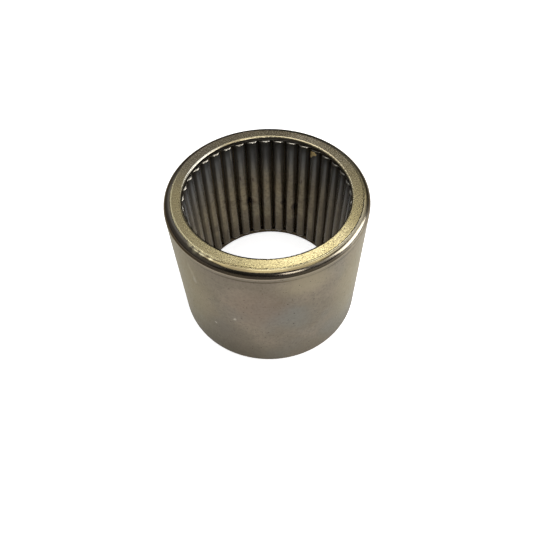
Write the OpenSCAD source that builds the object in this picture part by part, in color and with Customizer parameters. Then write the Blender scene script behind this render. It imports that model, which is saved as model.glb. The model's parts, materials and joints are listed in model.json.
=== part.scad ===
// Full-complement needle roller bearing with a drawn cup.
// The bearing stands on one end: its axis is Z, and z = 0 is the lower lip's face.
// A ring of needles runs between the shaft and the cup. Each needle has a thin trunnion
// at either end, and the lips of the cup turn in under the trunnions to hold the ring together.

/* [Bearing] */
// Diameter of the shaft that the needles run on
shaft_d = 38.1; // [32:0.1:48]
// Width of the cup over both lips
cup_width = 38.1; // [16:0.1:60]
// Number of needles that fill the ring
roller_count = 36; // [30:1:44]

/* [Cup] */
// Wall of the cup behind the raceway
cup_wall = 1.15; // [0.9:0.01:1.5]
// Thickness of the lip at each end
lip_thickness = 0.7; // [0.5:0.01:0.9]
// Outside radius where the wall turns into the lip
corner_r = 1.5; // [1:0.01:2]
// Inside radius where the raceway turns into the lip
race_corner_r = 0.35; // [0.1:0.01:0.5]
// Thickness of the lip's turned-in rim
curl_thickness = 0.68; // [0.4:0.01:0.9]
// Reach of the turned-in rim, measured from the lip's face
curl_depth = 1.2; // [1.1:0.01:1.8]
// Rounding of the lip's inner edge at the face
lip_edge_r = 0.4; // [0.1:0.01:0.5]
// Radius of the fine coined line round the lip's face
coin_line_r = 0.1; // [0.05:0.01:0.2]
// Land between the coined line and the outside corner
coin_land = 0.08; // [0.05:0.01:0.2]

/* [Needles] */
// Diameter of the trunnion at each end of a needle
pivot_d = 1.2; // [0.8:0.01:1.5]
// Rounding of a trunnion's tip
pivot_edge_r = 0.15; // [0.05:0.01:0.2]
// Rounding of a needle's shoulder
roller_edge_r = 0.45; // [0.1:0.01:0.5]

/* [Clearances] */
// Gap between neighbouring needles
roller_gap = 0.06; // [0.03:0.01:0.12]
// Gap between the needles and the raceway
race_clearance = 0.04; // [0.02:0.01:0.1]
// Gap between a trunnion and the turned-in rim
pivot_clearance = 0.06; // [0.03:0.01:0.12]
// Gap between a trunnion's tip and the lip
end_clearance = 0.05; // [0.03:0.01:0.15]
// Gap between a needle's shoulder and the turned-in rim
shoulder_clearance = 0.1; // [0.05:0.01:0.2]

/* [Hidden] */
// Angle between needles, and the sine that ties their diameter to the ring
step_angle = 360 / roller_count;
half_step_sin = sin(step_angle / 2);

// The needles are as thick as a full ring round the shaft allows, to the nearest micron of radius
grade = 0.001;
full_ring_r = (shaft_d * half_step_sin - roller_gap) / (1 - half_step_sin) / 2;
roller_r = round(full_ring_r / grade) * grade;
pivot_r = pivot_d / 2;
pitch_r = shaft_d / 2 + roller_r;

// The cup is built outwards from the needles, and its lips inwards to the trunnions
race_r = pitch_r + roller_r + race_clearance;
outer_r = race_r + cup_wall;
curl_outer_r = pitch_r - pivot_r - pivot_clearance;
lip_r = curl_outer_r - curl_thickness;
coin_line_at = outer_r - corner_r - coin_land - coin_line_r;

// Distances from a lip's face to the needle's tip and shoulder behind it
pivot_inset = lip_thickness + end_clearance;
shoulder_inset = curl_depth + shoulder_clearance;

// The first needle stands at the back of the ring, on +Y
first_angle = 90;

// Overlap with which a cutting profile runs past the edge that it opens
cut_over = 1;

$fn = 96;

function roller_name(i) = str("needle_roller_", i < 10 ? "0" : "", i);

// Draws its profile at the lower end of the cup, and mirrored at the upper end
module at_both_ends() {
    children();
    translate([0, cup_width])
        mirror([0, 1])
            children();
}

// Rectangle from one radius and height to another
module band(r_in, r_out, z_low, z_high) {
    translate([r_in, z_low])
        square([r_out - r_in, z_high - z_low]);
}

// Half profile of a round bar whose end edges are rounded
module bar_profile(r, z_low, z_high, edge_r) {
    band(0, r, z_low + edge_r, z_high - edge_r);
    band(0, r - edge_r, z_low, z_high);
    for (z = [z_low + edge_r, z_high - edge_r])
        translate([r - edge_r, z])
            circle(edge_r);
}

// Everything between the lips' inner edge and the outside of the cup, corners rounded
module cup_envelope() {
    band(lip_r, outer_r, corner_r, cup_width - corner_r);
    at_both_ends() {
        band(lip_r + lip_edge_r, outer_r - corner_r, 0, corner_r);
        band(lip_r, lip_r + lip_edge_r, lip_edge_r, corner_r);
        translate([outer_r - corner_r, corner_r])
            circle(corner_r);
        translate([lip_r + lip_edge_r, lip_edge_r])
            circle(lip_edge_r);
    }
}

// Space between the two lips, open to the bore, with its corners rounded at the raceway
module roller_chamber() {
    corner_inset = lip_thickness + race_corner_r;
    band(lip_r - cut_over, race_r, corner_inset, cup_width - corner_inset);
    band(lip_r - cut_over, race_r - race_corner_r, lip_thickness, cup_width - lip_thickness);
    at_both_ends()
        translate([race_r - race_corner_r, corner_inset])
            circle(race_corner_r);
}

// Rim that turns in from a lip's inner edge and passes under the trunnions, its tip fully rounded
module turned_in_rim() {
    tip_r = curl_thickness / 2;
    band(lip_r, curl_outer_r, lip_edge_r, curl_depth - tip_r);
    translate([lip_r + tip_r, curl_depth - tip_r])
        circle(tip_r);
}

// Drawn cup: raceway, two flat lips and their turned-in rims, pressed from one sheet
module drawn_cup() {
    color("darkkhaki")
        rotate_extrude() {
            difference() {
                cup_envelope();
                roller_chamber();
                at_both_ends()
                    translate([coin_line_at, 0])
                        circle(coin_line_r);
            }
            at_both_ends()
                turned_in_rim();
        }
}

// One needle: rolling body between its shoulders, with a trunnion at either end
module needle_roller(i) {
    color("lightsteelblue")
        rotate([0, 0, first_angle + (i - 1) * step_angle])
            translate([pitch_r, 0, 0])
                rotate_extrude() {
                    bar_profile(roller_r, shoulder_inset, cup_width - shoulder_inset, roller_edge_r);
                    bar_profile(pivot_r, pivot_inset, cup_width - pivot_inset, pivot_edge_r);
                }
}

drawn_cup();
for (i = [1 : roller_count])
    needle_roller(i);
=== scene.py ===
"""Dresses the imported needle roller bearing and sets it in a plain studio.

The CAD nodes stay as they are: this script gives each zone of the drawn cup and every needle its
finish, adds the fleck of dried grease, and makes the floor, the lamps and the camera.
All lengths are in metres in the bearing's own frame: the axis is Z and the lower lip lies at z = 0.
"""

import json
import logging
import math
from dataclasses import dataclass, field
from enum import Enum
from typing import Any

import bpy
from mathutils import Matrix, Vector


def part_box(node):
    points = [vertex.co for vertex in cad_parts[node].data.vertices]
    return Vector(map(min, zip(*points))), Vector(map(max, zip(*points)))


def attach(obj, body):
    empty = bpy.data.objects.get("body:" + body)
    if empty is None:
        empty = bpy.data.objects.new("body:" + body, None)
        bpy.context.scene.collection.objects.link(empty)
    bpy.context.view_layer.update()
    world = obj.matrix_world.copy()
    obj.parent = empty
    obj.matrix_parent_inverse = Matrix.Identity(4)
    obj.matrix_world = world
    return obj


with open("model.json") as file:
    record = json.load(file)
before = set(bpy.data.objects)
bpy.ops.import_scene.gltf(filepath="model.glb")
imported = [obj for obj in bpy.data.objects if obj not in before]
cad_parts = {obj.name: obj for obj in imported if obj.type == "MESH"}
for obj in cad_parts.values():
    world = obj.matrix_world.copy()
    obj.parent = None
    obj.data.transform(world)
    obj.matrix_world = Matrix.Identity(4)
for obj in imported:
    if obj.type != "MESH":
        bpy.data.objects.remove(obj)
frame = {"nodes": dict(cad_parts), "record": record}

log = logging.getLogger("bearing")

MM = 0.001
CUP_NODE = "drawn_cup"
FIRST_NEEDLE = "needle_roller_01"
WHITE = "#FFFFFF"

# Sockets of a Mix node for colours: share of the upper one, lower one, upper one, and the output
MIX_SHARE, MIX_UNDER, MIX_OVER, MIX_RESULT = 0, 6, 7, 2

# Noise levels between which each pattern goes from none to full
BLOTCH_LEVELS = (0.38, 0.64)
TINT_LEVELS = (0.46, 0.7)
MOTTLE_LEVELS = (0.4, 0.7)
GLOSS_LEVELS = (0.3, 0.7)
CLOT_LEVELS = (0.4, 0.62)
# How far over its own level a pit is full
PIT_EDGE = 0.06
# Mean level of a noise
NOISE_MEAN = 0.5

# Octaves of a noise: for soft patches and grain, and for edges and crusts that crumble
SOFT_DETAIL = 3.0
CRUMBLY_DETAIL = 4.0
# Share that each octave of the grain has of the one before
GRAIN_ROUGHNESS = 0.6

# Share of a stain's reach in which it is at full strength
STAIN_CORE = 0.2
# Width of the waves in a ragged edge, over how far they reach
WAVE_WIDTH = 1.5


def linear(hex_code: str) -> tuple[float, float, float, float]:
    """Turns an sRGB hex colour into the linear colour that a shader socket takes.

    Args:
        hex_code: six hex digits with a leading hash.

    Returns:
        Linear red, green and blue, and an alpha of 1.
    """
    channels = [int(hex_code[i : i + 2], 16) / 255 for i in (1, 3, 5)]
    # The sRGB curve: straight for the darkest tones, then a power
    return (*(c / 12.92 if c <= 0.04045 else ((c + 0.055) / 1.055) ** 2.4 for c in channels), 1.0)


def add_node(
    tree: bpy.types.NodeTree,
    kind: str,
    values: dict[Any, Any] | None = None,
    links: dict[Any, bpy.types.NodeSocket] | None = None,
    **settings: Any,
) -> bpy.types.Node:
    """Adds a node to a tree, with its settings, socket values and incoming links.

    Args:
        tree: the node tree that takes the node.
        kind: the node's type name.
        values: input socket to the constant that it holds.
        links: input socket to the output socket that feeds it.
        settings: properties of the node itself.

    Returns:
        The new node.
    """
    node = tree.nodes.new(kind)
    for key, value in settings.items():
        setattr(node, key, value)
    for key, value in (values or {}).items():
        node.inputs[key].default_value = value
    for key, source in (links or {}).items():
        tree.links.new(source, node.inputs[key])
    return node


def new_material(name: str) -> bpy.types.Material:
    """Makes a material with an empty node tree.

    Args:
        name: the material's name.

    Returns:
        The material.
    """
    made = bpy.data.materials.new(name)
    made.use_nodes = True
    made.node_tree.nodes.clear()
    return made


def put_in_scene(name: str, data: bpy.types.ID) -> bpy.types.Object:
    """Makes an object and links it to the scene.

    Args:
        name: the object's name.
        data: its mesh, lamp or camera.

    Returns:
        The object.
    """
    placed = bpy.data.objects.new(name, data)
    bpy.context.scene.collection.objects.link(placed)
    return placed


@dataclass(frozen=True)
class BearingSizes:
    """Sizes of the bearing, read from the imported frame."""

    outer_r: float
    width: float
    corner_r: float
    lip_r: float
    pitch_r: float
    roller_r: float
    shoulder_inset: float

    @classmethod
    def from_frame(cls) -> "BearingSizes":
        """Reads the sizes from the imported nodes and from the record's mounts.

        Returns:
            The sizes, in metres.
        """
        mounts = {m["name"]: m["dims"] for m in frame["record"]["mounts"]}
        cup_low, cup_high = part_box(CUP_NODE)
        needle_low, needle_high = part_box(FIRST_NEEDLE)
        width = cup_high.z - cup_low.z
        cup_radii = [v.co.xy.length for v in frame["nodes"][CUP_NODE].data.vertices]
        return cls(
            outer_r=(cup_high.x - cup_low.x) / 2,
            width=width,
            corner_r=(width - mounts["housing_seat"]["length_mm"] * MM) / 2,
            lip_r=min(cup_radii),
            pitch_r=(needle_high.y + needle_low.y) / 2,
            roller_r=(needle_high.x - needle_low.x) / 2,
            shoulder_inset=(width - mounts["shaft_seat"]["length_mm"] * MM) / 2,
        )


@dataclass(frozen=True)
class StainAndPaintedLight:
    """A soft-edged stain or scuff, or a painted highlight or painted shade, at one place of the
    surface.

    The place is given by its direction from the bearing's axis, its distance from the axis and its
    height. The stain reaches as far to the sides as up and down, unless it is squeezed: over 1 it
    gets lower, and under 1 it gets taller.
    """

    tone: str
    azimuth_deg: float
    radius_mm: float
    height_mm: float
    reach_mm: float
    strength: float
    squeeze: float = 1.0

    def share(self, tree: bpy.types.NodeTree, place: bpy.types.NodeSocket) -> bpy.types.NodeSocket:
        """Says how much of the stain shows at each point.

        Args:
            tree: the material's node tree.
            place: the socket with the point's place on the object.

        Returns:
            The socket that goes from 0 outside the stain to its strength in the middle.
        """
        turn = math.radians(self.azimuth_deg)
        centre = (
            self.radius_mm * math.cos(turn) * MM,
            self.radius_mm * math.sin(turn) * MM,
            self.height_mm * MM,
        )
        away = add_node(
            tree, "ShaderNodeVectorMath", operation="SUBTRACT", values={1: centre}, links={0: place}
        )
        flat = add_node(
            tree,
            "ShaderNodeVectorMath",
            operation="MULTIPLY",
            values={1: (1, 1, self.squeeze)},
            links={0: away.outputs["Vector"]},
        )
        far = add_node(
            tree, "ShaderNodeVectorMath", operation="LENGTH", links={0: flat.outputs["Vector"]}
        )
        step = add_node(
            tree,
            "ShaderNodeMapRange",
            values={
                "From Min": self.reach_mm * MM,
                "From Max": self.reach_mm * MM * STAIN_CORE,
                "To Max": self.strength,
            },
            links={"Value": far.outputs["Value"]},
            interpolation_type="SMOOTHSTEP",
        )
        return step.outputs["Result"]


class Across(Enum):
    """What a band's limits are measured by, as the share of each axis in that measure."""

    HEIGHT = (0, 0, 1)
    RADIUS = (1, 1, 0)


@dataclass(frozen=True)
class Band:
    """A tone that runs round the bearing between two limits, with soft edges.

    It runs right round, or only on the side that faces one way: it starts at one distance from the
    axis in that direction, and is full at another.
    """

    tone: str
    low_mm: float
    high_mm: float
    soft_mm: float
    strength: float
    across: Across = Across.HEIGHT
    facing_deg: float | None = None
    starts_mm: float = 0.0
    full_mm: float = 14.0

    def share(self, tree: bpy.types.NodeTree, place: bpy.types.NodeSocket) -> bpy.types.NodeSocket:
        """Says how much of the band shows at each point.

        Args:
            tree: the material's node tree.
            place: the socket with the point's place on the object.

        Returns:
            The socket that goes from 0 outside the band to its strength inside.
        """
        middle, half = (self.low_mm + self.high_mm) / 2, (self.high_mm - self.low_mm) / 2
        flat = add_node(
            tree,
            "ShaderNodeVectorMath",
            operation="MULTIPLY",
            values={1: self.across.value},
            links={0: place},
        )
        along = add_node(
            tree, "ShaderNodeVectorMath", operation="LENGTH", links={0: flat.outputs["Vector"]}
        )
        over = add_node(
            tree,
            "ShaderNodeMath",
            operation="SUBTRACT",
            values={1: middle * MM},
            links={0: along.outputs["Value"]},
        )
        far = add_node(
            tree, "ShaderNodeMath", operation="ABSOLUTE", links={0: over.outputs["Value"]}
        )
        feeds = {"Value": far.outputs["Value"]}
        if self.facing_deg is not None:
            turn = math.radians(self.facing_deg)
            ahead = add_node(
                tree,
                "ShaderNodeVectorMath",
                operation="DOT_PRODUCT",
                values={1: (math.cos(turn), math.sin(turn), 0)},
                links={0: place},
            )
            side = add_node(
                tree,
                "ShaderNodeMapRange",
                values={
                    "From Min": self.starts_mm * MM,
                    "From Max": self.full_mm * MM,
                    "To Max": self.strength,
                },
                links={"Value": ahead.outputs["Value"]},
                interpolation_type="SMOOTHSTEP",
            )
            feeds["To Max"] = side.outputs["Result"]
        step = add_node(
            tree,
            "ShaderNodeMapRange",
            values={
                "From Min": (half + self.soft_mm) * MM,
                "From Max": half * MM,
                "To Max": self.strength,
            },
            links=feeds,
            interpolation_type="SMOOTHSTEP",
        )
        return step.outputs["Result"]


@dataclass(frozen=True)
class SteelFinish:
    """Bearing steel with blotches of oil stain, fine pits and a worked surface.

    Pattern sizes are in millimetres on the bearing. Blotches, tint and mottle have their real size.
    The grain and the pits of such steel are too fine to show, so they are drawn several times as
    coarse, at 0.25 to 0.5 mm. A depth of grain is how far its highest point stands over its lowest,
    and the edge tint is what the steel gives back at a flat angle.
    """

    name: str
    bare: str
    stained: str
    tint: str
    roughness: tuple[float, float]
    blotch_mm: float = 9.0
    tint_mm: float = 14.0
    mottle: str = "#4A443B"
    mottle_mm: float = 1.1
    mottle_share: float = 0.0
    grain_mm: float = 0.3
    grain_depth_mm: float = 0.002
    grain_stretch: float = 1.0
    pit: str = "#2E2923"
    pit_mm: float = 0.5
    pit_level: float = 0.72
    metallic: float = 1.0
    edge_tint: str = WHITE
    bands: tuple[Band, ...] = ()
    stains_and_painted_light: tuple[StainAndPaintedLight, ...] = ()
    ragged_mm: float = 4.0

    def material(self) -> bpy.types.Material:
        """Builds the finish as a node material.

        Returns:
            The material, ready for a slot.
        """
        made = new_material(self.name)
        tree = made.node_tree
        place = add_node(tree, "ShaderNodeTexCoord").outputs["Object"]
        pit_levels = (self.pit_level, self.pit_level + PIT_EDGE)
        pits = self.patches(tree, place, self.pit_mm, pit_levels)
        worked = add_node(
            tree,
            "ShaderNodeMapping",
            values={"Scale": (1, 1, self.grain_stretch)},
            links={"Vector": place},
        )
        grain = add_node(
            tree,
            "ShaderNodeTexNoise",
            values={
                "Scale": 1 / (self.grain_mm * MM),
                "Detail": SOFT_DETAIL,
                "Roughness": GRAIN_ROUGHNESS,
            },
            links={"Vector": worked.outputs["Vector"]},
        )
        gloss = add_node(
            tree,
            "ShaderNodeMapRange",
            values={
                "From Min": GLOSS_LEVELS[0],
                "From Max": GLOSS_LEVELS[1],
                "To Min": self.roughness[0],
                "To Max": self.roughness[1],
            },
            links={"Value": grain.outputs["Fac"]},
        )
        height = add_node(
            tree, "ShaderNodeMath", operation="SUBTRACT", links={0: grain.outputs["Fac"], 1: pits}
        )
        bump = add_node(
            tree,
            "ShaderNodeBump",
            values={"Strength": 1.0, "Distance": self.grain_depth_mm * MM},
            links={"Height": height.outputs["Value"]},
        )
        shader = add_node(
            tree,
            "ShaderNodeBsdfPrincipled",
            values={"Metallic": self.metallic, "Specular Tint": linear(self.edge_tint)},
            links={
                "Base Color": self.colour(tree, place, pits),
                "Roughness": gloss.outputs["Result"],
                "Normal": bump.outputs["Normal"],
            },
        )
        add_node(tree, "ShaderNodeOutputMaterial", links={"Surface": shader.outputs["BSDF"]})
        return made

    def colour(
        self, tree: bpy.types.NodeTree, place: bpy.types.NodeSocket, pits: bpy.types.NodeSocket
    ) -> bpy.types.NodeSocket:
        """Lays blotches, tint, mottle, bands, stains and pits over the bare tone, in that order;
        bands and stains carry painted light and shade too.

        Args:
            tree: the material's node tree.
            place: the socket with the point's place on the object.
            pits: the socket that says where the pits are.

        Returns:
            The socket with the finished colour.
        """
        ragged = self.ragged(tree, place)
        # The bands keep to the cup's frame, so the painted shade in the gaps and by height stays
        # put while a needle turns
        cup = frame["nodes"][CUP_NODE]
        ring = add_node(tree, "ShaderNodeTexCoord", object=cup).outputs["Object"]
        mottled = self.patches(tree, place, self.mottle_mm, MOTTLE_LEVELS, self.mottle_share)
        layers = [
            (self.tint, self.patches(tree, place, self.tint_mm, TINT_LEVELS)),
            (self.mottle, mottled),
            *((band.tone, band.share(tree, ring)) for band in self.bands),
            *((stain.tone, stain.share(tree, ragged)) for stain in self.stains_and_painted_light),
            (self.pit, pits),
        ]
        blotches = add_node(
            tree,
            "ShaderNodeMix",
            data_type="RGBA",
            values={MIX_UNDER: linear(self.bare), MIX_OVER: linear(self.stained)},
            links={MIX_SHARE: self.patches(tree, place, self.blotch_mm, BLOTCH_LEVELS)},
        )
        colour = blotches.outputs[MIX_RESULT]
        for tone, share in layers:
            laid = add_node(
                tree,
                "ShaderNodeMix",
                data_type="RGBA",
                values={MIX_OVER: linear(tone)},
                links={MIX_SHARE: share, MIX_UNDER: colour},
            )
            colour = laid.outputs[MIX_RESULT]
        return colour

    def ragged(self, tree: bpy.types.NodeTree, place: bpy.types.NodeSocket) -> bpy.types.NodeSocket:
        """Shifts the place a little to and fro, so that what is laid by it gets a ragged edge.

        Args:
            tree: the material's node tree.
            place: the socket with the point's place on the object.

        Returns:
            The socket with the shifted place.
        """
        noise = add_node(
            tree,
            "ShaderNodeTexNoise",
            values={"Scale": 1 / (self.ragged_mm * WAVE_WIDTH * MM), "Detail": CRUMBLY_DETAIL},
            links={"Vector": place},
        )
        shift = add_node(
            tree,
            "ShaderNodeVectorMath",
            operation="MULTIPLY_ADD",
            values={1: (self.ragged_mm * MM,) * 3, 2: (-NOISE_MEAN * self.ragged_mm * MM,) * 3},
            links={0: noise.outputs["Color"]},
        )
        moved = add_node(
            tree,
            "ShaderNodeVectorMath",
            operation="ADD",
            links={0: place, 1: shift.outputs["Vector"]},
        )
        return moved.outputs["Vector"]

    @staticmethod
    def patches(
        tree: bpy.types.NodeTree,
        place: bpy.types.NodeSocket,
        size_mm: float,
        levels: tuple[float, float],
        most: float = 1.0,
    ) -> bpy.types.NodeSocket:
        """Spreads soft patches over the surface.

        Args:
            tree: the material's node tree.
            place: the socket with the point's place on the object.
            size_mm: the patches' size in millimetres.
            levels: noise level under which there is no patch, and the one over which it is full.
            most: how much shows inside a full patch.

        Returns:
            The socket that goes from 0 to most inside a patch.
        """
        noise = add_node(
            tree,
            "ShaderNodeTexNoise",
            values={"Scale": 1 / (size_mm * MM), "Detail": SOFT_DETAIL},
            links={"Vector": place},
        )
        step = add_node(
            tree,
            "ShaderNodeMapRange",
            values={"From Min": levels[0], "From Max": levels[1], "To Max": most},
            links={"Value": noise.outputs["Fac"]},
            interpolation_type="SMOOTHSTEP",
        )
        return step.outputs["Result"]


class CupZone(Enum):
    """Zones of the drawn cup that were worked in different ways, in the order of its slots."""

    OUTSIDE = 0
    CORNER = 1
    FACE = 2
    EDGE = 3
    INSIDE = 4


class NeedleZone(Enum):
    """Zones of a needle, in the order of its slots."""

    BODY = 0
    SHOULDER = 1


# Case-hardened steel, deep drawn and tumbled, under a thin brown film of oil: its reflections are
# soft and cloudy, with stains, a pale vertical strip on the front left and two bright nicks
OUTSIDE_STEEL = SteelFinish(
    name="case_hardened_steel_drawn_and_oiled",
    bare="#877C6D",
    stained="#7A7062",
    tint="#7B776F",
    roughness=(0.34, 0.44),
    mottle="#5E564B",
    mottle_mm=0.7,
    mottle_share=0.36,
    grain_mm=0.4,
    grain_depth_mm=0.004,
    grain_stretch=0.4,
    pit_mm=0.45,
    pit_level=0.66,
    edge_tint="#FFFDF4",
    bands=(
        # Painted shade and light: a thin dark line and a paler band just under the bend at the
        # front, and darker towards the bottom, where the floor's shade is mirrored
        Band("#4A4136", 35.35, 35.6, 0.12, 0.8, facing_deg=-72.0, full_mm=24.0),
        Band("#A39784", 36.3, 36.55, 0.12, 0.6, facing_deg=-85.0),
        Band("#665E52", -1.0, 2.0, 9.0, 0.5),
    ),
    stains_and_painted_light=(
        StainAndPaintedLight("#857958", -149.0, 23.8, 22.0, 15.0, 0.7, 0.5),
        StainAndPaintedLight("#958A6C", -33.0, 23.8, 22.0, 11.0, 0.6, 0.5),
        StainAndPaintedLight("#4F473B", -118.0, 23.8, 0.0, 18.0, 0.7),
        StainAndPaintedLight("#655C52", -116.0, 23.8, 13.0, 7.0, 0.5),
        StainAndPaintedLight("#7C685A", -97.0, 23.8, 25.0, 10.0, 0.4),
        StainAndPaintedLight("#77766F", -75.0, 23.8, 20.0, 7.0, 0.4),
        StainAndPaintedLight("#9D9279", -70.0, 23.8, 33.0, 9.0, 0.6, 1.6),
        StainAndPaintedLight("#A0967F", -136.9, 23.8, 32.2, 0.9, 0.4, 0.5),
        StainAndPaintedLight("#A0967F", -135.6, 23.8, 30.2, 1.1, 0.45, 0.5),
        StainAndPaintedLight("#A29B8C", -134.1, 23.8, 27.9, 0.9, 0.6, 0.5),
        StainAndPaintedLight("#B9B4A6", -110.2, 23.8, 19.1, 0.55, 0.9),
        StainAndPaintedLight("#B9B4A6", -123.2, 23.8, 13.8, 0.5, 0.9),
    ),
    ragged_mm=1.6,
)

# The same sheet where the die bent it: burnished, so highlights stay sharp and the rest goes dark.
# Next to the lip, on the front, it is straw-coloured: tempering colour, painted only where the warm
# highlight falls. Next to the wall, painted reflection of the dark room makes it dark, and a film
# of oil dulls it at a flat angle too.
CORNER_STEEL = SteelFinish(
    name="case_hardened_steel_burnished_bend",
    bare="#9A9386",
    stained="#857C6E",
    tint="#89847B",
    roughness=(0.14, 0.22),
    grain_depth_mm=0.0045,
    edge_tint="#CFC6B6",
    bands=(
        # Straw tint by the lips, dark bands by the wall (painted reflection), pale band (painted
        # highlight)
        Band("#7F7354", 37.9, 39.0, 0.08, 1.0, facing_deg=-60.0),
        Band("#7F7354", -1.0, 0.2, 0.08, 1.0, facing_deg=-60.0),
        Band("#5A5044", 36.9, 37.6, 0.25, 0.75, facing_deg=-150.0),
        Band("#342E26", 36.7, 37.2, 0.2, 0.95, facing_deg=-125.0),
        Band("#342E26", 0.9, 1.4, 0.2, 0.95, facing_deg=-125.0),
        Band("#D6C89C", 38.075, 39.0, 0.02, 0.5, facing_deg=-40.0),
        Band("#4E453A", 37.35, 37.95, 0.2, 0.8, facing_deg=175.0, starts_mm=6.0, full_mm=20.0),
        Band("#3A342C", 36.8, 37.6, 0.25, 0.85, facing_deg=40.0, full_mm=20.0),
        Band("#4A4236", 36.95, 37.35, 0.2, 0.6, facing_deg=-54.0, starts_mm=22.3, full_mm=23.4),
    ),
    stains_and_painted_light=(
        # Darker at the back and at two places on the front; then painted highlights: a broken pale
        # streak on the right, and bright spots along the lip on the front left
        StainAndPaintedLight("#4A4233", 80.0, 22.5, 38.0, 27.0, 0.85),
        StainAndPaintedLight("#4A4233", -106.0, 22.6, 38.0, 4.5, 0.5),
        StainAndPaintedLight("#4A4233", -74.0, 22.6, 38.0, 4.0, 0.4),
        StainAndPaintedLight("#C6BEAC", -35.0, 23.0, 38.1, 11.0, 0.55, 6.0),
        StainAndPaintedLight("#EADFB8", -137.0, 22.2, 38.1, 1.2, 0.75),
        StainAndPaintedLight("#EADFB8", -132.0, 22.2, 38.1, 1.2, 0.75),
        StainAndPaintedLight("#EADFB8", -127.0, 22.2, 38.1, 1.2, 0.75),
        StainAndPaintedLight("#EADFB8", -121.5, 22.3, 38.1, 1.0, 0.6),
    ),
    ragged_mm=1.6,
)

# Lip pressed flat by the closing punch: straw-coloured from tempering, with the punch's satin
# grain.
# Painted light makes it lighter on the left, with a pale highlight along its outer edge there, and
# painted shade darkens its inner edge at the front and the face round the back and on the right.
FACE_STEEL = SteelFinish(
    name="tempered_steel_coined_lip",
    bare="#B9AA80",
    stained="#A7986D",
    tint="#AB9E7A",
    roughness=(0.2, 0.3),
    mottle="#7A6B44",
    mottle_mm=0.3,
    mottle_share=0.45,
    grain_mm=0.3,
    grain_depth_mm=0.0035,
    pit="#514630",
    pit_mm=0.35,
    pit_level=0.62,
    bands=(
        # Painted light on the left, a painted highlight along the outer edge there, painted shade
        # at the front
        Band("#CBBD92", 19.0, 21.8, 0.1, 0.4, Across.RADIUS, facing_deg=-178.0, full_mm=20.0),
        Band(
            tone="#FFF3C6",
            low_mm=21.85,
            high_mm=22.12,
            soft_mm=0.06,
            strength=1.0,
            across=Across.RADIUS,
            facing_deg=-160.0,
            starts_mm=14.0,
            full_mm=20.0,
        ),
        Band("#2A2115", 19.6, 19.98, 0.08, 0.9, Across.RADIUS, facing_deg=-90.0, full_mm=9.0),
    ),
    stains_and_painted_light=(
        # Painted shade: darker round the back and on the right
        StainAndPaintedLight("#827867", 115.0, 21.0, 38.1, 23.0, 0.8),
        StainAndPaintedLight("#857B69", 40.0, 21.0, 38.1, 20.0, 0.75),
        StainAndPaintedLight("#8F8260", -10.0, 21.0, 38.1, 15.0, 0.6),
        StainAndPaintedLight("#968D7E", 150.0, 21.0, 38.1, 12.0, 0.6),
        StainAndPaintedLight("#6E6455", 80.0, 21.0, 38.1, 6.0, 0.5),
        StainAndPaintedLight("#A89C86", 60.0, 21.0, 38.1, 6.5, 0.6),
    ),
)

# Inner edge of the lip, rubbed smooth by the punch. Painted pale, with a painted highlight on the
# back left, it makes a pale line at the back of the bore; painted shade makes it dark at the front,
# at the lower lip, and a little next to the face on the back left.
EDGE_STEEL = SteelFinish(
    name="tempered_steel_edge_painted_light_and_shade",
    bare="#C8BC9C",
    stained="#B3A685",
    tint="#BCB296",
    roughness=(0.2, 0.28),
    grain_depth_mm=0.001,
    edge_tint="#8A7C62",
    bands=(
        # Painted shade at the lower lip, and a little next to the face on the back left
        Band("#5C503E", -1.0, 0.6, 0.1, 0.95),
        Band("#857A5F", 38.04, 39.0, 0.05, 0.8, facing_deg=150.0),
    ),
    stains_and_painted_light=(
        # A painted highlight on the back left, and painted shade at the front
        StainAndPaintedLight("#DAD6CA", 150.0, 19.7, 37.9, 12.0, 0.7),
        StainAndPaintedLight("#241C12", -90.0, 19.7, 38.1, 34.0, 1.0),
    ),
)

# Turned-in rim, raceway and the lips' hidden sides, as drawn and oily, with painted shade: darker
# than the outside in the recess and darker still at the lower lip, a dull, dark ground behind the
# needles
INSIDE_STEEL = SteelFinish(
    name="case_hardened_steel_oily_painted_shade",
    bare="#66615A",
    stained="#554F48",
    tint="#5B5A56",
    roughness=(0.28, 0.4),
    grain_depth_mm=0.0012,
    bands=(Band("#5C503E", -1.0, 1.5, 0.5, 0.9),),
)

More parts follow.
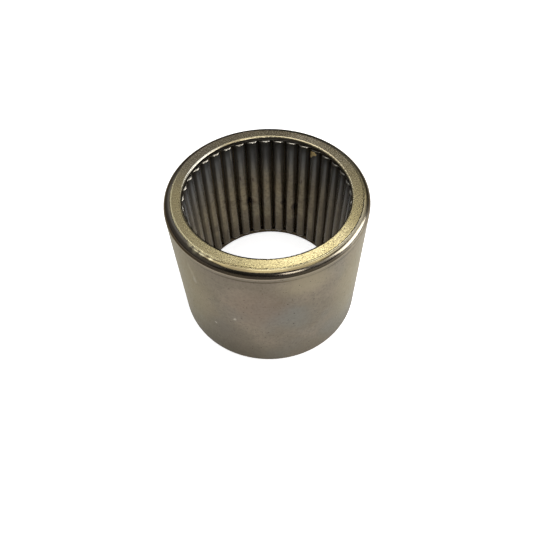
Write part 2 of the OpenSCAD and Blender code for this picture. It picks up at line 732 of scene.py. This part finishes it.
# Needles of through-hardened steel, centreless ground and oiled: a soft streak of light along each
# one. The film of oil scatters a little light, so they aren't fully metallic. Painted shade darkens
# them towards the gaps, towards the top and the bottom, and in a few large patches where they
# mirror dim parts of the bore. Old grease has left small smears, streaks and a few pale crumbs,
# and one needle has a thin pale line down it.
NEEDLE_STEEL = SteelFinish(
    name="through_hardened_steel_centreless_ground",
    bare="#998C71",
    stained="#857860",
    tint="#8C826E",
    roughness=(0.17, 0.25),
    blotch_mm=5.0,
    tint_mm=9.0,
    mottle="#4A4234",
    mottle_mm=0.9,
    mottle_share=0.35,
    grain_mm=0.25,
    grain_depth_mm=0.0012,
    grain_stretch=3.0,
    pit_mm=0.4,
    pit_level=0.68,
    metallic=0.62,
    bands=(
        # Painted shade: greyer and darker towards the top and under the lip, darker at the bottom,
        # dark on the flanks by the gaps. The half that faces the cup is a darker brown.
        Band("#787877", 35.0, 45.0, 15.0, 1.0),
        Band("#50504E", 36.2, 45.0, 2.5, 0.75),
        Band("#665B49", -5.0, 3.0, 9.0, 0.7),
        Band("#3D3427", 19.45, 20.0, 0.25, 0.62, Across.RADIUS),
        Band("#8C7C62", 20.2, 23.0, 0.2, 0.9, Across.RADIUS),
    ),
    stains_and_painted_light=(
        # The first four are painted shade, where the needles mirror dim parts of the bore; the rest
        # are grease, and a thin pale line down one needle
        StainAndPaintedLight("#6E6453", 178.0, 20.0, 4.0, 12.0, 0.5),
        StainAndPaintedLight("#4E4A43", 163.0, 20.0, 24.0, 9.0, 0.35),
        StainAndPaintedLight("#3A3835", 92.0, 19.3, 34.5, 8.0, 0.5),
        StainAndPaintedLight("#463F34", 12.0, 20.0, 18.0, 23.0, 0.5),
        StainAndPaintedLight("#2E241A", 105.0, 19.6, 15.0, 2.2, 0.9),
        StainAndPaintedLight("#2E241A", 76.0, 19.6, 14.0, 1.3, 0.9),
        StainAndPaintedLight("#2E241A", 66.0, 19.6, 13.0, 1.5, 0.9, 0.7),
        StainAndPaintedLight("#33291D", 114.4, 19.1, 16.5, 1.5, 0.8, 4.0),
        StainAndPaintedLight("#33291D", 126.5, 19.1, 18.8, 1.5, 0.8, 4.0),
        StainAndPaintedLight("#3B342A", 112.0, 19.1, 25.3, 0.3, 0.7, 0.25),
        StainAndPaintedLight("#3B342A", 101.3, 19.1, 23.8, 0.3, 0.7, 0.25),
        StainAndPaintedLight("#3B342A", 59.9, 19.1, 24.5, 0.3, 0.7, 0.25),
        StainAndPaintedLight("#B8AE9A", 76.0, 19.1, 14.3, 0.35, 0.9),
        StainAndPaintedLight("#B8AE9A", 65.6, 19.1, 14.0, 0.35, 0.9),
        StainAndPaintedLight("#B8AE9A", 85.2, 19.1, 4.9, 0.3, 0.9),
        StainAndPaintedLight("#B5AFA2", 118.3, 19.25, 34.2, 0.35, 0.7, 0.12),
    ),
    ragged_mm=0.5,
)

# Needle shoulders, barrelled bright: a crisp crescent of light on each one
SHOULDER_STEEL = SteelFinish(
    name="through_hardened_steel_barrelled_edge",
    bare="#A7A297",
    stained="#8F897D",
    tint="#96938C",
    roughness=(0.16, 0.22),
    grain_depth_mm=0.0003,
    pit_level=0.85,
    stains_and_painted_light=(
        # Painted shade: dims the crescents on the right, towards the back
        StainAndPaintedLight("#4A463F", 28.0, 20.0, 36.6, 10.0, 0.5),
        StainAndPaintedLight("#2E2A23", 49.0, 19.6, 36.6, 2.4, 0.9),
    ),
)


@dataclass(frozen=True)
class GreaseFinish:
    """Grease that has dried to a dull, waxy crust, lighter where it is thin."""

    name: str = "lithium_grease_dried_to_a_crust"
    thick: str = "#BFA56C"
    thin: str = "#D8C08C"
    clot_mm: float = 0.5
    crust_mm: float = 0.2
    crust_depth_mm: float = 0.02
    roughness: float = 0.55

    def material(self) -> bpy.types.Material:
        """Builds the finish as a node material.

        Returns:
            The material, ready for a slot.
        """
        made = new_material(self.name)
        tree = made.node_tree
        place = add_node(tree, "ShaderNodeTexCoord").outputs["Object"]
        clots = SteelFinish.patches(tree, place, self.clot_mm, CLOT_LEVELS)
        tone = add_node(
            tree,
            "ShaderNodeMix",
            data_type="RGBA",
            values={MIX_UNDER: linear(self.thick), MIX_OVER: linear(self.thin)},
            links={MIX_SHARE: clots},
        )
        crust = add_node(
            tree,
            "ShaderNodeTexNoise",
            values={"Scale": 1 / (self.crust_mm * MM), "Detail": CRUMBLY_DETAIL},
            links={"Vector": place},
        )
        bump = add_node(
            tree,
            "ShaderNodeBump",
            values={"Strength": 1.0, "Distance": self.crust_depth_mm * MM},
            links={"Height": crust.outputs["Fac"]},
        )
        shader = add_node(
            tree,
            "ShaderNodeBsdfPrincipled",
            values={"Roughness": self.roughness},
            links={"Base Color": tone.outputs[MIX_RESULT], "Normal": bump.outputs["Normal"]},
        )
        add_node(tree, "ShaderNodeOutputMaterial", links={"Surface": shader.outputs["BSDF"]})
        return made


@dataclass
class DrawnCup:
    """The drawn cup, dressed zone by zone.

    The edge's radius and the coined line's width are the part's own, repeated here because the
    frame doesn't hold them.
    """

    sizes: BearingSizes
    node: str = CUP_NODE
    edge_r: float = 0.4 * MM
    flat_reach: float = 0.15 * MM
    coin_line: float = 0.18 * MM
    skin: float = 0.1 * MM
    slack: float = 0.02 * MM
    finishes: dict[CupZone, SteelFinish] = field(
        default_factory=lambda: {
            CupZone.OUTSIDE: OUTSIDE_STEEL,
            CupZone.CORNER: CORNER_STEEL,
            CupZone.FACE: FACE_STEEL,
            CupZone.EDGE: EDGE_STEEL,
            CupZone.INSIDE: INSIDE_STEEL,
        }
    )

    def zone_at(self, radius: float, height: float) -> CupZone:
        """Says which zone a point of the cup's surface belongs to.

        Args:
            radius: distance from the bearing's axis.
            height: height over the lower lip's face.

        Returns:
            The zone.
        """
        inset = min(height, self.sizes.width - height)
        from_lip = radius - self.sizes.lip_r
        from_outside = self.sizes.outer_r - radius
        corner = self.sizes.corner_r
        if from_lip < self.edge_r - self.slack and inset < self.edge_r - self.slack:
            return CupZone.EDGE
        if inset < self.flat_reach and from_outside > corner - self.slack:
            return CupZone.FACE if from_outside > corner + self.coin_line else CupZone.CORNER
        if inset < corner - self.slack and from_outside < corner:
            on_bend = math.hypot(corner - from_outside, corner - inset) > corner - self.skin
            return CupZone.CORNER if on_bend else CupZone.INSIDE
        return CupZone.OUTSIDE if from_outside < self.skin else CupZone.INSIDE

    def dress(self) -> None:
        """Gives each zone of the cup its finish."""
        cup = frame["nodes"][self.node]
        cup.data.materials.clear()
        for zone in CupZone:
            cup.data.materials.append(self.finishes[zone].material())
        for face in cup.data.polygons:
            centre = face.center
            face.material_index = self.zone_at(centre.xy.length, centre.z).value
        log.info("%s dressed in %d finishes", self.node, len(cup.data.materials))


@dataclass
class NeedleRing:
    """The full ring of needles, whose shoulders have the part's own radius."""

    sizes: BearingSizes
    prefix: str = "needle_roller_"
    shoulder_r: float = 0.45 * MM
    slack: float = 0.02 * MM
    finishes: dict[NeedleZone, SteelFinish] = field(
        default_factory=lambda: {NeedleZone.BODY: NEEDLE_STEEL, NeedleZone.SHOULDER: SHOULDER_STEEL}
    )

    def zone_at(self, height: float) -> NeedleZone:
        """Says which zone of a needle a height belongs to.

        Args:
            height: height over the lower lip's face.

        Returns:
            The zone.
        """
        inset = min(height, self.sizes.width - height)
        shoulder = self.sizes.shoulder_inset + self.shoulder_r - self.slack
        return NeedleZone.SHOULDER if inset < shoulder else NeedleZone.BODY

    def dress(self) -> None:
        """Gives the zones of every needle their finishes."""
        made = [self.finishes[zone].material() for zone in NeedleZone]
        needles = {n: o for n, o in frame["nodes"].items() if n.startswith(self.prefix)}
        for name, needle in needles.items():
            needle.data.materials.clear()
            for finish in made:
                needle.data.materials.append(finish)
            for face in needle.data.polygons:
                face.material_index = self.zone_at(face.center.z).value
            log.info("%s dressed in %d finishes", name, len(made))


@dataclass
class GreaseFleck:
    """A fleck of dried grease over the shoulder of one needle, which turns with that needle.

    Its outline is given on the needle's side: how far round from the point nearest the bearing's
    axis, and the height over the lower lip's face.
    """

    sizes: BearingSizes
    name: str = "grease_fleck"
    body: str = "needle_roller_33"
    needle_deg: float = 50.0
    shoulder_r: float = 0.45 * MM
    crown: float = 0.03 * MM
    sunk: float = 0.01 * MM
    flatness: int = 4
    rings: int = 6
    steps: int = 4
    outline_mm: tuple[tuple[float, float], ...] = (
        (-0.95, 34.1),
        (-0.42, 34.85),
        (-0.03, 35.3),
        (0.3, 35.42),
        (0.62, 35.5),
        (0.78, 35.95),
        (0.5, 36.25),
        (0.5, 36.55),
        (0.1, 36.66),
        (-0.5, 36.4),
        (-1.1, 36.1),
        (-1.6, 35.6),
        (-1.8, 35.1),
        (-1.7, 34.6),
        (-1.3, 34.2),
    )
    finish: GreaseFinish = GreaseFinish()

    def on_needle(self, round_mm: float, height_mm: float, lift: float) -> Vector:
        """Finds a point on or over the needle's surface.

        Args:
            round_mm: way round the needle from the point nearest the bearing's axis.
            height_mm: height over the lower lip's face.
            lift: height over the needle's surface.

        Returns:
            The point.
        """
        bend = self.shoulder_r
        past = height_mm * MM - (self.sizes.width - self.sizes.shoulder_inset - bend)
        drop = bend - math.sqrt(bend**2 - min(max(past, 0.0), bend) ** 2)
        way = math.radians(self.needle_deg)
        turn = way + math.pi + round_mm * MM / self.sizes.roller_r
        reach = self.sizes.roller_r - drop + lift
        return Vector(
            (
                self.sizes.pitch_r * math.cos(way) + reach * math.cos(turn),
                self.sizes.pitch_r * math.sin(way) + reach * math.sin(turn),
                height_mm * MM,
            )
        )

    def smooth_outline(self) -> list[Vector]:
        """Runs a smooth closed curve through the outline's points.

        Returns:
            The curve's points, several for each point of the outline.
        """
        knots = [Vector(p) for p in self.outline_mm]
        curve = []
        for i in range(len(knots)):
            a, b, c, d = (knots[(i + k - 1) % len(knots)] for k in range(4))
            for step in range(self.steps):
                t = step / self.steps
                square = (2 * a - 5 * b + 4 * c - d) * t**2
                cube = (3 * b - a - 3 * c + d) * t**3
                curve.append((2 * b + (c - a) * t + square + cube) / 2)
        return curve

    def build(self) -> None:
        """Builds the fleck as a thin closed crust, crowned in the middle, and rides it."""
        curve = self.smooth_outline()
        centre = sum(curve, Vector((0, 0))) / len(curve)
        count = len(curve)
        points = [self.on_needle(*centre, self.crown), self.on_needle(*centre, -self.sunk)]
        for ring in range(1, self.rings + 1):
            out = ring / self.rings
            for p in curve:
                lift = self.crown * (1 - out**self.flatness)
                points.append(self.on_needle(*centre.lerp(p, out), lift))
        for ring in range(1, self.rings):
            out = ring / self.rings
            for p in curve:
                points.append(self.on_needle(*centre.lerp(p, out), -self.sunk))
        upper = [2 + ring * count for ring in range(self.rings)]
        under = [2 + (self.rings + ring) * count for ring in range(self.rings - 1)] + [upper[-1]]
        faces = []
        for i in range(count):
            j = (i + 1) % count
            faces += [(0, upper[0] + i, upper[0] + j), (1, under[0] + j, under[0] + i)]
            for inner, outer in zip(upper, upper[1:]):
                faces.append((inner + i, outer + i, outer + j, inner + j))
            for inner, outer in zip(under, under[1:]):
                faces.append((inner + j, outer + j, outer + i, inner + i))
        mesh = bpy.data.meshes.new(self.name)
        mesh.from_pydata(points, [], faces)
        mesh.shade_smooth()
        mesh.materials.append(self.finish.material())
        fleck = put_in_scene(self.name, mesh)
        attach(fleck, self.body)
        log.info("%s with %d faces on %s", self.name, len(faces), self.body)


@dataclass(frozen=True)
class SoftBox:
    """A soft box: where it hangs as seen from the bearing, how large it is and what it gives."""

    name: str
    azimuth_deg: float
    elevation_deg: float
    distance: float
    wide: float
    tall: float
    watts: float
    colour: str = WHITE

    def hang(self, aim: Vector) -> None:
        """Hangs the soft box so that it faces a point.

        Args:
            aim: the point.
        """
        light = bpy.data.lights.new(self.name, "AREA")
        light.shape = "RECTANGLE"
        light.size, light.size_y = self.wide, self.tall
        light.energy = self.watts
        light.color = linear(self.colour)[:3]
        lamp = put_in_scene(self.name, light)
        turn, lift = math.radians(self.azimuth_deg), math.radians(self.elevation_deg)
        level = math.cos(lift)
        away = Vector((level * math.cos(turn), level * math.sin(turn), math.sin(lift)))
        lamp.location = aim + away * self.distance
        lamp.rotation_mode = "QUATERNION"
        lamp.rotation_quaternion = (-away).to_track_quat("-Z", "Y")


# Overhead: lights the floor and the bore, and draws the line of light along the front of the bend
TOP_BOX = SoftBox("top_box", -90.0, 88.0, 0.9, 0.9, 0.74, 5.0)
# In front, right of the camera: the streak on the front of the bend
FRONT_BOX = SoftBox("front_box", -67.0, 29.0, 0.9, 0.26, 0.3, 1.6)
# On the right: the streak on the right of the bend, and a lighter right side
SIDE_BOX = SoftBox("side_box", -1.0, 27.0, 0.7, 0.5, 0.42, 2.4)
# Between the two: joins their streaks with a dimmer one
JOIN_BOX = SoftBox("join_box", -32.0, 38.0, 0.9, 0.36, 0.6, 0.46)
# On the left, large and dim: keeps the left of the bend from going black
LEFT_BOX = SoftBox("left_box", 168.0, 30.0, 0.9, 1.8, 0.8, 0.85)
# Behind on the right, dim: lifts the right of the bend next to the lip
RIGHT_BOX = SoftBox("right_box", 40.0, 44.0, 0.9, 0.42, 0.42, 0.3)
# Behind the bearing, where the front of the lip mirrors it
BACK_BOX = SoftBox("back_box", 84.0, 52.0, 0.7, 0.15, 0.1, 0.33, "#F2F8FF")


@dataclass
class Studio:
    """Floor, surroundings and lamps."""

    sizes: BearingSizes
    floor_half: float = 3.0
    floor_drop: float = 0.02 * MM
    floor_tone: str = "#F2F2F2"
    glow_reach: tuple[float, float] = (0.1, 0.6)
    near_glow: float = 0.72
    far_glow: float = 1.0
    glossy_glow: float = 0.144
    room_glow: float = 0.085
    ceiling_glow: float = 0.42
    ceiling_way: tuple[float, float, float] = (0.0, 0.45, 0.893)
    ceiling_edge: tuple[float, float] = (0.8, 0.95)
    boxes: tuple[SoftBox, ...] = (
        TOP_BOX,
        FRONT_BOX,
        JOIN_BOX,
        SIDE_BOX,
        RIGHT_BOX,
        BACK_BOX,
        LEFT_BOX,
    )

    def build(self) -> None:
        """Makes the floor, the surroundings and the lamps."""
        self.lay_floor()
        self.surround()
        for box in self.boxes:
            box.hang(Vector((0, 0, self.sizes.width)))
        bpy.context.scene.view_settings.view_transform = "Standard"
        log.info("studio with %d soft boxes", len(self.boxes))

    @staticmethod
    def clear_view(tree: bpy.types.NodeTree) -> bpy.types.NodeSocket:
        """Says whether a surface is looked at straight, or through something clear.

        Args:
            tree: the node tree of the floor or of the surroundings.

        Returns:
            The socket that is 1 for such a look, and 0 for light that goes on to the bearing.
        """
        path = add_node(tree, "ShaderNodeLightPath")
        clear = add_node(
            tree,
            "ShaderNodeMath",
            operation="MAXIMUM",
            links={0: path.outputs["Is Camera Ray"], 1: path.outputs["Is Transmission Ray"]},
        )
        return clear.outputs["Value"]

    def lay_floor(self) -> None:
        """Lays a floor of white card, which reads as white and still takes the bearing's shadow."""
        mesh = bpy.data.meshes.new("floor")
        half = self.floor_half
        corners = [(-half, -half, 0), (half, -half, 0), (half, half, 0), (-half, half, 0)]
        mesh.from_pydata(corners, [], [(0, 1, 2, 3)])
        floor = put_in_scene("floor", mesh)
        floor.location.z = -self.floor_drop
        made = new_material("matt_white_card")
        tree = made.node_tree
        path = add_node(tree, "ShaderNodeLightPath")
        place = add_node(tree, "ShaderNodeTexCoord").outputs["Object"]
        away = add_node(tree, "ShaderNodeVectorMath", operation="LENGTH", links={0: place})
        # Near the bearing the lamps add what is missing to white, and further out the glow does
        pale = add_node(
            tree,
            "ShaderNodeMapRange",
            values={
                "From Min": self.glow_reach[0],
                "From Max": self.glow_reach[1],
                "To Min": self.near_glow,
                "To Max": self.far_glow,
            },
            links={"Value": away.outputs["Value"]},
        )
        seen = add_node(
            tree,
            "ShaderNodeMath",
            operation="MULTIPLY",
            links={0: self.clear_view(tree), 1: pale.outputs["Result"]},
        )
        glow = add_node(
            tree,
            "ShaderNodeMath",
            operation="MULTIPLY_ADD",
            values={1: self.glossy_glow},
            links={0: path.outputs["Is Glossy Ray"], 2: seen.outputs["Value"]},
        )
        shader = add_node(
            tree,
            "ShaderNodeBsdfPrincipled",
            values={
                "Base Color": linear(self.floor_tone),
                "Roughness": 1.0,
                "Specular IOR Level": 0.0,
                "Emission Color": linear(WHITE),
            },
            links={"Emission Strength": glow.outputs["Value"]},
        )
        add_node(tree, "ShaderNodeOutputMaterial", links={"Surface": shader.outputs["BSDF"]})
        mesh.materials.append(made)

    def surround(self) -> None:
        """Sets a white backdrop, in a dim room with a paler ceiling behind the bearing."""
        world = bpy.data.worlds.new("studio")
        bpy.context.scene.world = world
        world.use_nodes = True
        tree = world.node_tree
        tree.nodes.clear()
        way = add_node(tree, "ShaderNodeTexCoord").outputs["Generated"]
        behind = add_node(
            tree,
            "ShaderNodeVectorMath",
            operation="DOT_PRODUCT",
            values={1: self.ceiling_way},
            links={0: way},
        )
        room = add_node(
            tree,
            "ShaderNodeMapRange",
            values={
                "From Min": self.ceiling_edge[0],
                "From Max": self.ceiling_edge[1],
                "To Min": self.room_glow,
                "To Max": self.ceiling_glow,
            },
            links={"Value": behind.outputs["Value"]},
            interpolation_type="SMOOTHSTEP",
        )
        level = add_node(
            tree,
            "ShaderNodeMath",
            operation="MAXIMUM",
            links={0: room.outputs["Result"], 1: self.clear_view(tree)},
        )
        light = add_node(
            tree,
            "ShaderNodeBackground",
            values={"Color": linear(WHITE)},
            links={"Strength": level.outputs["Value"]},
        )
        add_node(tree, "ShaderNodeOutputWorld", links={"Surface": light.outputs["Background"]})


@dataclass(frozen=True)
class PhotoCamera:
    """The camera where the photograph was taken from, worked out from the bearing's outline."""

    distance: float = 115.39 * MM
    elevation_deg: float = 48.2
    roll_deg: float = 1.9
    target: tuple[float, float, float] = (0.16 * MM, 0.0, 28.1 * MM)
    lens_mm: float = 31.71
    shift: tuple[float, float] = (-0.0032, -0.0891)
    sensor_mm: float = 36.0
    nearest: float = 5 * MM

    def place(self) -> None:
        """Makes the camera and hands it to the scene."""
        data = bpy.data.cameras.new("photo_camera")
        data.lens = self.lens_mm
        data.sensor_width = self.sensor_mm
        data.shift_x, data.shift_y = self.shift
        data.clip_start = self.nearest
        camera = put_in_scene("photo_camera", data)
        tilt, roll = math.radians(self.elevation_deg), math.radians(self.roll_deg)
        back = Vector((0, -math.cos(tilt), math.sin(tilt)))
        right, up = Vector((1, 0, 0)), Vector((0, math.sin(tilt), math.cos(tilt)))
        turned_right = right * math.cos(roll) - up * math.sin(roll)
        turned_up = right * math.sin(roll) + up * math.cos(roll)
        axes = Matrix((turned_right, turned_up, back)).transposed().to_4x4()
        camera.matrix_world = Matrix.Translation(Vector(self.target) + back * self.distance) @ axes
        bpy.context.scene.camera = camera


def main() -> None:
    """Builds the scene in order."""
    logging.basicConfig(level=logging.INFO, format="%(name)s: %(message)s")
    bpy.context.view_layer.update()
    sizes = BearingSizes.from_frame()
    log.info("sizes in mm: %s", {k: round(v / MM, 3) for k, v in vars(sizes).items()})
    DrawnCup(sizes).dress()
    NeedleRing(sizes).dress()
    GreaseFleck(sizes).build()
    Studio(sizes).build()
    PhotoCamera().place()


if __name__ == "__main__":
    main()
